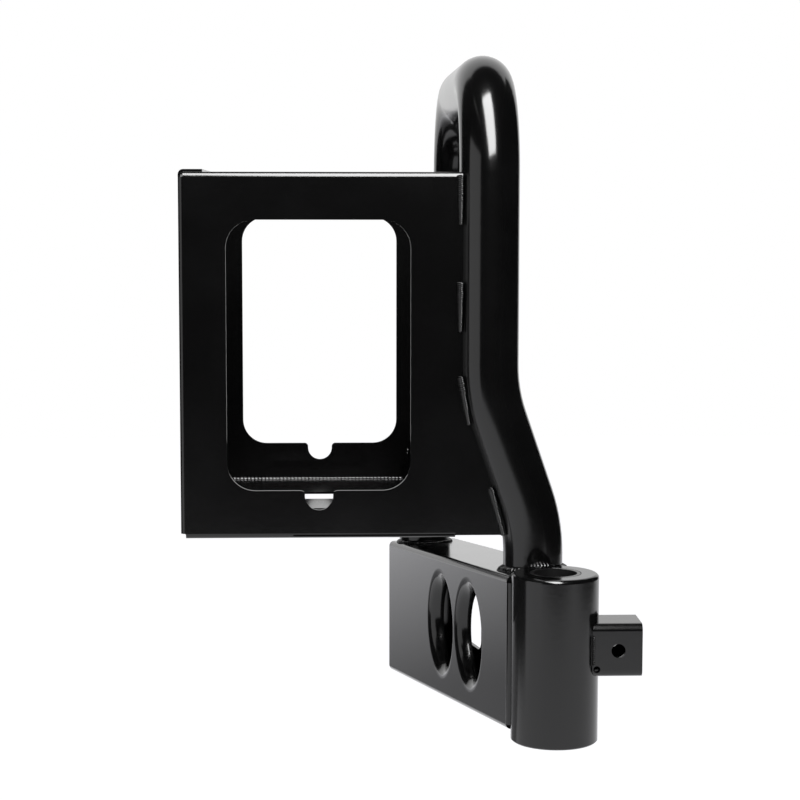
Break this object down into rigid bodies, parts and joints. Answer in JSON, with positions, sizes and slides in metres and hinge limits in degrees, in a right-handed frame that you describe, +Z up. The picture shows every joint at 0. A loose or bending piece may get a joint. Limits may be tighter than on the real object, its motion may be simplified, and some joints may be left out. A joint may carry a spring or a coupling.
{
  "type": "swing-away can carrier arm",
  "caption": "Welded black steel swing arm with a pivot hub, flared box section arm, bent hoop tube and an open folded-sheet box that carries fuel or water cans behind a vehicle.",
  "frame": {"origin": "pivot axis at the bottom face of the hub", "axes": "+Z up along the pivot axis, +Y along the depth of the can box away from the camera, +X from the hub towards the stop bracket"},
  "size_m": [0.5276, 0.6087, 0.8337],
  "materials": {
    "black_coat": "gloss powder coat",
    "weld_coat": "gloss powder coat over weld",
    "bush": "satin"
  },
  "bodies": {
    "root": {"pivot_hub": "black_coat", "arm_box_section": "black_coat", "arm_end_cap": "black_coat", "hoop_tube": "black_coat", "can_box_wrap": "black_coat", "can_box_floor": "black_coat", "stop_bracket": "black_coat", "stop_bracket_cap": "black_coat", "front_panel_welds": "weld_coat", "back_panel_welds": "weld_coat", "front_leg_weld": "weld_coat", "back_leg_weld": "weld_coat", "hub_arm_welds": "weld_coat", "bracket_weld": "weld_coat", "upper_pivot_bush": "bush", "lower_pivot_bush": "bush"}
  },
  "joints": []
}
